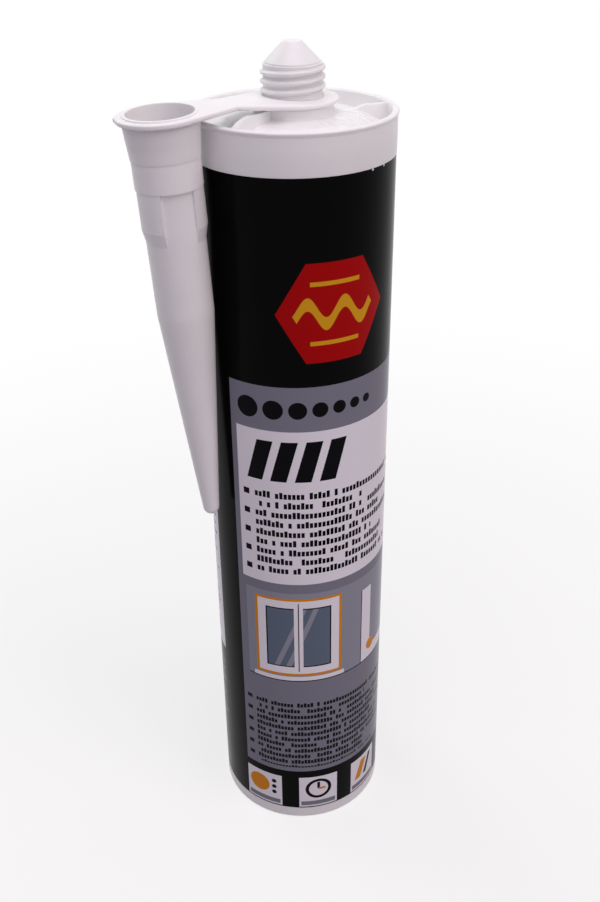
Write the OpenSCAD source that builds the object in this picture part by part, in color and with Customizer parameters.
// Caulk tube of the 300 ml class with its nozzle clipped beside it.
// The axis of the tube is Z, the open lower end stands on z = 0,
// the front of the label faces -Y and the nozzle hangs on the -X side.

/* [Barrel] */
// Height from the open end to the top of the rim
tube_h = 216; // [190:1:240]
// Outside diameter of the barrel under the label
barrel_d = 49.5; // [49:0.1:51]
// Wall of the barrel round the bore that the piston runs in
barrel_wall = 1.35; // [1:0.05:1.8]
// How far the foot band stands proud of the barrel
foot_proud = 0.15; // [0.15:0.05:0.6]
// Height of the foot band below the label
foot_h = 4; // [3:0.1:8]
// Rounding of the foot's outer edge
foot_round = 0.5; // [0.2:0.1:0.7]
// How much wider the bore is on each side at its open end
entry_relief = 0.5; // [0.3:0.05:0.6]
// Depth of that entry
entry_depth = 4; // [3:0.5:10]

/* [Rim and shoulder] */
// How far the plain skirt above the label stands proud of the barrel
skirt_proud = 0.25; // [0.2:0.05:0.8]
// Height of the skirt, its bead included
skirt_h = 10; // [8:0.1:14]
// Wall of the skirt above the shoulder
skirt_wall = 1.4; // [1:0.1:1.8]
// How far the rolled bead at the top of the rim stands proud of the skirt
bead_proud = 0.3; // [0.2:0.05:0.8]
// Height of the bead
bead_h = 1.3; // [1:0.1:2]
// Rounding of the bead's edges
bead_round = 0.5; // [0.2:0.1:0.6]
// Depth of the shoulder's edge below the rim
shoulder_drop = 1.5; // [0.5:0.1:3]
// Rise of the shoulder from its edge to the collar
shoulder_rise = 0.5; // [0.2:0.1:0.8]
// Width of the cone between the skirt and the shoulder
cone_w = 7.5; // [4:0.1:10]
// Fall of the cone from the shoulder's edge to the skirt
cone_fall = 3.2; // [2:0.1:5]
// Wall of the shoulder
shoulder_wall = 1.4; // [1:0.1:2]
// Blending radius at the shoulder's corners
shoulder_blend = 0.6; // [0.2:0.1:1]

/* [Neck] */
// Width of the collar round the root, which carries the holder's ring
collar_w = 2.4; // [1.6:0.1:3.5]
// Height of the collar above the shoulder
collar_h = 2.4; // [2:0.1:5]
// How far the plain root that the ring turns on stands proud of the core
root_proud = 0.25; // [0.2:0.05:0.5]
// Height of the root above the collar
root_h = 2; // [1.5:0.1:3]
// Core diameter of the screwed part
core_d = 14.1; // [13:0.1:14.3]
// Height of the thread's ridge above its core
thread_depth = 0.65; // [0.5:0.05:0.8]
// Length of the screwed part
core_h = 6.9; // [5:0.1:12]
// How far the step above the thread stands back from the core
step_back = 0.5; // [0.2:0.1:1.2]
// Height of the step
step_h = 0.4; // [0.4:0.1:2]
// Diameter of the closed end's flat top
end_d = 4.4; // [4:0.1:7]
// Height of the cone that closes the neck
end_h = 4.4; // [2.5:0.1:6]
// Wall of the neck
neck_wall = 1.3; // [1:0.05:1.6]

/* [Shoulder webs] */
// Thickness of each web
web_t = 1.3; // [0.8:0.1:2]
// Bearing of the tall web
tall_web_angle = 202; // [180:1:230]
// Distance from the skirt over which the tall web falls to the rim
tall_web_fall_w = 6; // [3:0.1:9]
// Gap between the tall web's top and the collar's top
tall_web_drop = 0.1; // [0.1:0.1:0.5]
// Angle between each low web and the point opposite the tall one
low_web_spread = 38.5; // [25:0.5:60]
// Depth of a low web's top below the rim
low_web_drop = 0.5; // [0.4:0.1:1.2]
// Length of a low web's top, from the skirt to the shoulder
low_web_w = 8.6; // [7.6:0.1:11]

/* [Label] */
// Thickness of the printed film
film_t = 0.12; // [0.08:0.01:0.15]
// Gap between the film and the wall under it
film_gap = 0.02; // [0.01:0.01:0.03]
// Bare strip between the film's upper edge and the skirt
film_margin = 0.1; // [0.05:0.05:1]
// Width of the open seam at the back
seam_w = 0.8; // [0.4:0.1:3]

/* [Piston] */
// Distance from the open end to the piston
piston_recess = 22; // [12:0.5:60]
// Length of the piston's skirt below its crown
piston_h = 11; // [8:0.5:18]
// Wall of the piston
piston_wall = 1.3; // [1:0.1:2]
// Running gap between the sealing lips and the bore
lip_gap = 0.05; // [0.03:0.01:0.1]
// Depth of the relief between the two lips
lip_relief = 0.45; // [0.2:0.05:0.8]
// Height of each sealing lip
lip_h = 1.6; // [1:0.1:3]
// Gap between the filling and what surrounds it
fill_gap = 0.05; // [0.03:0.01:0.1]

/* [Nozzle holder] */
// Gap between the bead and the widest part of the nozzle's body
nozzle_gap = 0.75; // [0.7:0.05:6]
// Running gap between the ring's hole and the neck's root
ring_gap = 0.08; // [0.05:0.01:0.1]
// Width of the ring round its hole
ring_w = 3.6; // [3:0.1:6]
// Thickness of the ring
ring_t = 1; // [0.8:0.1:1.2]
// Gap between the ring and the collar
ring_lift = 0.2; // [0.1:0.05:0.3]
// Distance from the mouth's centre to the strap's waist
waist_out = 17.2; // [15:0.1:19]
// Width of the strap at its waist
waist_w = 9.6; // [6:0.1:12]
// Thickness of the strap
strap_t = 1.1; // [0.8:0.1:1.5]
// Rise of the strap's waist above the ring
waist_rise = 0.9; // [0.2:0.1:1.5]
// Rounding of the edges of ring, strap and flange
edge_round = 0.4; // [0.2:0.05:0.45]

/* [Nozzle] */
// Length of the nozzle from its mouth to its closed tip
nozzle_l = 106.3; // [80:0.1:130]
// Height of the mouth above the ring's top
mouth_rise = 0.6; // [0:0.1:1]
// Lean of the nozzle towards the tube
lean = 2.9; // [0:0.1:3.5]
// Sideways lean of the nozzle
side_lean = 1.3; // [0:0.1:3]
// Width of the flange round the nozzle's body
flange_w = 1.25; // [0.8:0.05:3]
// Thickness of the flange
flange_t = 1.2; // [1:0.1:1.6]
// Bearing of the pull tab on the flange's edge
tab_angle = 152; // [130:1:230]
// Reach of the pull tab beyond the flange
tab_reach = 0.3; // [0.3:0.1:2]
// Height of the raised lip round the mouth
lip_rise = 0.35; // [0.1:0.05:0.8]
// Width of the raised lip
lip_w = 0.8; // [0.6:0.1:1.2]
// Running gap between the neck's thread and the socket
socket_gap = 0.1; // [0.05:0.01:0.2]
// Depth of the socket
socket_depth = 7.8; // [6:0.1:10]
// Wall of the socket just below the flange
mouth_wall = 1.15; // [1:0.05:1.8]
// Taper of the band on each side, from the flange to the parting line
band_taper = 1; // [0.6:0.05:1]
// Length of the band
band_l = 16.1; // [12:0.1:24]
// Place of the moulding's parting line
parting_l = 9.5; // [9.3:0.1:12]
// Step at the parting line
parting_step = 0.15; // [0.05:0.05:0.3]
// Step from the band down to the three grip lands
land_step = 0.15; // [0.05:0.05:0.4]
// Length of the lands, their bevel included
land_l = 13.4; // [8:0.1:20]
// Length of the bevel at a land's end
land_bevel = 4.2; // [1:0.1:6]
// Angle that one land covers
land_angle = 60; // [30:1:80]
// Bearing of the first land's middle
land_turn = 77; // [0:1:119]
// Step from the band down to the body between the lands
body_step = 0.8; // [0.5:0.05:1]
// Taper of the body on each side, down to the long cone
body_taper = 0.15; // [0:0.05:0.5]
// Distance from the mouth to the start of the long cone
cone_start = 47; // [32:0.5:60]
// Outside diameter at the tip
tip_d = 4.4; // [4:0.1:8]
// Wall of the nozzle's body
nozzle_wall = 1; // [0.8:0.1:1.3]

/* [Hidden] */
$fn = 128;
LANDS = 3;
ROUND_STEPS = 6;
EDGE_FACETS = 48;
OVERLAP = 0.6;

plastic_white = [0.93, 0.92, 0.93];
film_black = [0.06, 0.06, 0.07];
paste_grey = [0.55, 0.55, 0.57];
piston_white = [0.88, 0.88, 0.86];

barrel_r = barrel_d / 2;
bore_r = barrel_r - barrel_wall;
entry_r = bore_r + entry_relief;
foot_r = barrel_r + foot_proud;
skirt_r = barrel_r + skirt_proud;
skirt_in_r = skirt_r - skirt_wall;
bead_r = skirt_r + bead_proud;
shoulder_r = skirt_in_r - cone_w;
root_d = core_d + 2 * root_proud;
crest_d = core_d + 2 * thread_depth;
collar_r = root_d / 2 + collar_w;
rim_z = tube_h;
skirt_z = rim_z - skirt_h;
shoulder_z = rim_z - shoulder_drop;
groove_z = shoulder_z - cone_fall;
collar_foot_z = shoulder_z + shoulder_rise;
collar_z = collar_foot_z + collar_h;
root_z = collar_z + root_h;
core_z = root_z + core_h;
step_z = core_z + step_h;
end_z = step_z + end_h;
neck_bore_r = core_d / 2 - neck_wall;
collar_bore_r = collar_r - shoulder_wall;
shoulder_under_z = shoulder_z - shoulder_wall;
cone_under_z = shoulder_under_z - cone_fall * (bore_r - shoulder_r) / cone_w;
film_in_r = barrel_r + film_gap;
seam_angle = seam_w / film_in_r * 180 / PI;

lip_r = bore_r - lip_gap;
piston_r = lip_r - lip_relief;
crown_z = piston_recess + piston_h;
crown_top_z = crown_z + shoulder_under_z - cone_under_z;
cup_r = piston_r - piston_wall;

ring_z = collar_z + ring_lift;
mouth_z = ring_z + ring_t + mouth_rise;
waist_z = ring_z + ring_t + waist_rise - strap_t;
socket_r = crest_d / 2 + socket_gap;
mouth_r = socket_r + mouth_wall;
band_r = mouth_r - band_taper;
land_r = band_r - land_step;
body_r = band_r - body_step;
cone_r = body_r - body_taper;
throat_r = band_r - nozzle_wall;
body_bore_r = body_r - nozzle_wall;
flange_d = 2 * (mouth_r + flange_w);
ring_hole_d = root_d + 2 * ring_gap;
ring_d = ring_hole_d + 2 * ring_w;
reach = bead_r + nozzle_gap + mouth_r;
waist_x = reach - waist_out;

// Points of a round stretch about a centre, from one bearing to another
function arc(centre, r, from, to) =
    [for (i = [0:ROUND_STEPS]) let (a = from + (to - from) * i / ROUND_STEPS)
        [centre[0] + r * cos(a), centre[1] + r * sin(a)]];

// Outside of the cartridge from the open end to the top of the rim
function barrel_outside() = concat(
    [[entry_r, 0]],
    arc([foot_r - foot_round, foot_round], foot_round, -90, 0),
    [[foot_r, foot_h],
     [barrel_r, foot_h],
     [barrel_r, skirt_z],
     [skirt_r, skirt_z],
     [skirt_r, rim_z - bead_h]],
    arc([bead_r - bead_round, rim_z - bead_round], bead_round, 0, 90),
    arc([skirt_in_r + bead_round, rim_z - bead_round], bead_round, 90, 180));

// The moulded head: groove, cone, shoulder and collar
function head_outside() = concat(
    arc([skirt_in_r - shoulder_blend, groove_z + shoulder_blend], shoulder_blend, 0, -110),
    [[shoulder_r + shoulder_blend, shoulder_z - shoulder_blend * cone_fall / cone_w],
     [shoulder_r - shoulder_blend / 3, shoulder_z]],
    arc([collar_r + shoulder_blend, collar_foot_z + shoulder_blend], shoulder_blend, -90, -180),
    arc([collar_r - shoulder_blend / 2, collar_z - shoulder_blend / 2], shoulder_blend / 2, 0, 90));

// The neck up to its closed end
function neck_outside() = [
    [root_d / 2, collar_z],
    [root_d / 2, root_z],
    [core_d / 2, root_z],
    [core_d / 2, core_z],
    [core_d / 2 - step_back, core_z],
    [core_d / 2 - step_back, step_z],
    [end_d / 2, end_z],
    [0, end_z]];

// Inside of the cartridge from the closed end down to the entry
function cartridge_inside() = [
    [0, end_z - neck_wall],
    [end_d / 2 - neck_wall / 2, end_z - neck_wall],
    [neck_bore_r, core_z],
    [neck_bore_r, root_z],
    [collar_bore_r, collar_z - shoulder_wall],
    [collar_bore_r, shoulder_under_z + shoulder_rise],
    [shoulder_r, shoulder_under_z],
    [bore_r, cone_under_z],
    [bore_r, entry_depth + entry_relief],
    [entry_r, entry_depth]];

// Points of a web below the head's surface, from the collar to the skirt
function web_foot() = [
    [skirt_in_r + skirt_wall / 2, groove_z - OVERLAP],
    [skirt_in_r, groove_z - OVERLAP],
    [shoulder_r, shoulder_z - OVERLAP],
    [collar_r - OVERLAP, shoulder_z - OVERLAP]];

module web(outline, bearing) {
    rotate([0, 0, bearing])
        rotate([90, 0, 0])
            translate([0, 0, -web_t / 2])
                linear_extrude(web_t)
                    polygon(outline);
}

module tall_web() {
    top_z = collar_z - tall_web_drop;
    fall = top_z - (rim_z - bead_round);
    falling = [for (i = [0:ROUND_STEPS]) let (t = i / ROUND_STEPS)
        [skirt_in_r - tall_web_fall_w * (1 - t), top_z - fall * t * t]];
    web(concat([[collar_r - OVERLAP, top_z]], falling,
        [[skirt_in_r + skirt_wall / 2, rim_z - bead_round]], web_foot()), tall_web_angle);
}

module low_web(bearing) {
    top_z = rim_z - low_web_drop;
    foot_in_r = skirt_in_r - low_web_w;
    rising = [for (i = [0:ROUND_STEPS]) let (t = i / ROUND_STEPS)
        [foot_in_r + low_web_w / 2 * t, shoulder_z + (top_z - shoulder_z) * sin(90 * t)]];
    web(concat([[foot_in_r, shoulder_z - OVERLAP]], rising,
        [[skirt_in_r, top_z], [skirt_in_r + skirt_wall / 2, top_z],
         [skirt_in_r + skirt_wall / 2, groove_z - OVERLAP],
         [skirt_in_r, groove_z - OVERLAP],
         [shoulder_r, shoulder_z - OVERLAP]]), bearing);
}

module cartridge() {
    color(plastic_white)
        union() {
            rotate_extrude()
                polygon(concat(barrel_outside(), head_outside(), neck_outside(), cartridge_inside()));
            tall_web();
            low_web(tall_web_angle + 180 - low_web_spread);
            low_web(tall_web_angle + 180 + low_web_spread);
        }
}

module label() {
    color(film_black)
        rotate([0, 0, 90 + seam_angle / 2])
            rotate_extrude(angle = 360 - seam_angle)
                translate([film_in_r, foot_h + film_margin])
                    square([film_t, skirt_z - foot_h - 2 * film_margin]);
}

module sealant() {
    fill_r = bore_r - fill_gap;
    color(paste_grey)
        rotate_extrude()
            polygon([
                [0, crown_top_z + fill_gap],
                [shoulder_r, crown_top_z + fill_gap],
                [fill_r, crown_z + fill_gap],
                [fill_r, cone_under_z - fill_gap],
                [shoulder_r, shoulder_under_z - fill_gap],
                [collar_bore_r - fill_gap, shoulder_under_z + shoulder_rise - fill_gap],
                [collar_bore_r - fill_gap, collar_z - shoulder_wall],
                [neck_bore_r - fill_gap, root_z],
                [neck_bore_r - fill_gap, core_z],
                [end_d / 2 - neck_wall / 2, end_z - neck_wall - fill_gap],
                [0, end_z - neck_wall - fill_gap]]);
}

module piston() {
    color(piston_white)
        rotate_extrude()
            polygon([
                [cup_r, piston_recess],
                [lip_r, piston_recess],
                [lip_r, piston_recess + lip_h],
                [piston_r, piston_recess + lip_h + lip_relief],
                [piston_r, crown_z - lip_h - lip_relief],
                [lip_r, crown_z - lip_h],
                [lip_r, crown_z],
                [shoulder_r, crown_top_z],
                [0, crown_top_z],
                [0, crown_top_z - piston_wall],
                [shoulder_r, crown_top_z - piston_wall],
                [cup_r, crown_z - piston_wall]]);
}

// Disc with rounded edges, standing on z = 0
module edge_disc(d, t) {
    r = min(edge_round, t / 2 - 0.05);
    rotate_extrude($fn = EDGE_FACETS)
        polygon(concat(
            [[0, 0]],
            [for (a = [-90:30:0]) [d / 2 - r + r * cos(a), r + r * sin(a)]],
            [for (a = [0:30:90]) [d / 2 - r + r * cos(a), t - r + r * sin(a)]],
            [[0, t]]));
}

// Moves what it holds to the nozzle's mouth, with the flange's tilt
module at_flange() {
    translate([-reach, 0, mouth_z])
        rotate([0, -lean, 0])
            children();
}

// Moves what it holds to the nozzle's own axis, which points down
module at_nozzle() {
    at_flange()
        rotate([180 - side_lean, 0, 0])
            children();
}

module holder_plate() {
    hull() {
        translate([0, 0, ring_z])
            edge_disc(ring_d, ring_t);
        translate([-waist_x, 0, waist_z])
            edge_disc(waist_w, strap_t);
    }
    hull() {
        translate([-waist_x, 0, waist_z])
            edge_disc(waist_w, strap_t);
        at_flange()
            translate([0, 0, -flange_t])
                edge_disc(flange_d, flange_t);
    }
    hull()
        at_flange()
            for (far = [0, 1])
                rotate([0, 0, tab_angle])
                    translate([far * (flange_d / 2 + tab_reach - waist_w / 4), 0, -flange_t])
                        edge_disc(waist_w / 2, flange_t);
}

module nozzle_outside() {
    tip_r = tip_d / 2;
    rotate_extrude()
        polygon(concat(
            [[0, flange_t / 2],
             [mouth_r, flange_t / 2],
             [band_r + parting_step, parting_l],
             [band_r, parting_l],
             [band_r, band_l],
             [body_r, band_l],
             [cone_r, cone_start]],
            arc([0, nozzle_l - tip_r], tip_r, 0, 90)));
}

module grip_lands() {
    for (i = [0:LANDS - 1])
        rotate([0, 0, -land_turn - i * 360 / LANDS - land_angle / 2])
            rotate_extrude(angle = land_angle)
                polygon([
                    [throat_r, band_l - OVERLAP],
                    [land_r, band_l - OVERLAP],
                    [land_r, band_l + land_l - land_bevel],
                    [body_r - nozzle_wall / 4, band_l + land_l],
                    [body_bore_r + nozzle_wall / 4, band_l + land_l]]);
}

module nozzle_inside() {
    tip_bore_r = tip_d / 2 - nozzle_wall;
    rotate_extrude()
        polygon([
            [0, -flange_t],
            [socket_r, -flange_t],
            [socket_r, socket_depth],
            [throat_r, socket_depth + nozzle_wall],
            [throat_r, parting_l],
            [body_bore_r, band_l],
            [cone_r - nozzle_wall, cone_start],
            [tip_bore_r, nozzle_l - tip_d],
            [0, nozzle_l - tip_d]]);
}

module mouth_lip() {
    at_flange()
        translate([0, 0, -flange_t / 2])
            cylinder(h = flange_t / 2 + lip_rise, r = socket_r + lip_w);
}

module nozzle() {
    color(plastic_white)
        difference() {
            union() {
                holder_plate();
                mouth_lip();
                at_nozzle()
                    nozzle_outside();
                at_nozzle()
                    grip_lands();
            }
            at_nozzle()
                nozzle_inside();
            cylinder(h = mouth_z + flange_d, d = ring_hole_d);
        }
}

cartridge();
label();
sealant();
piston();
nozzle();
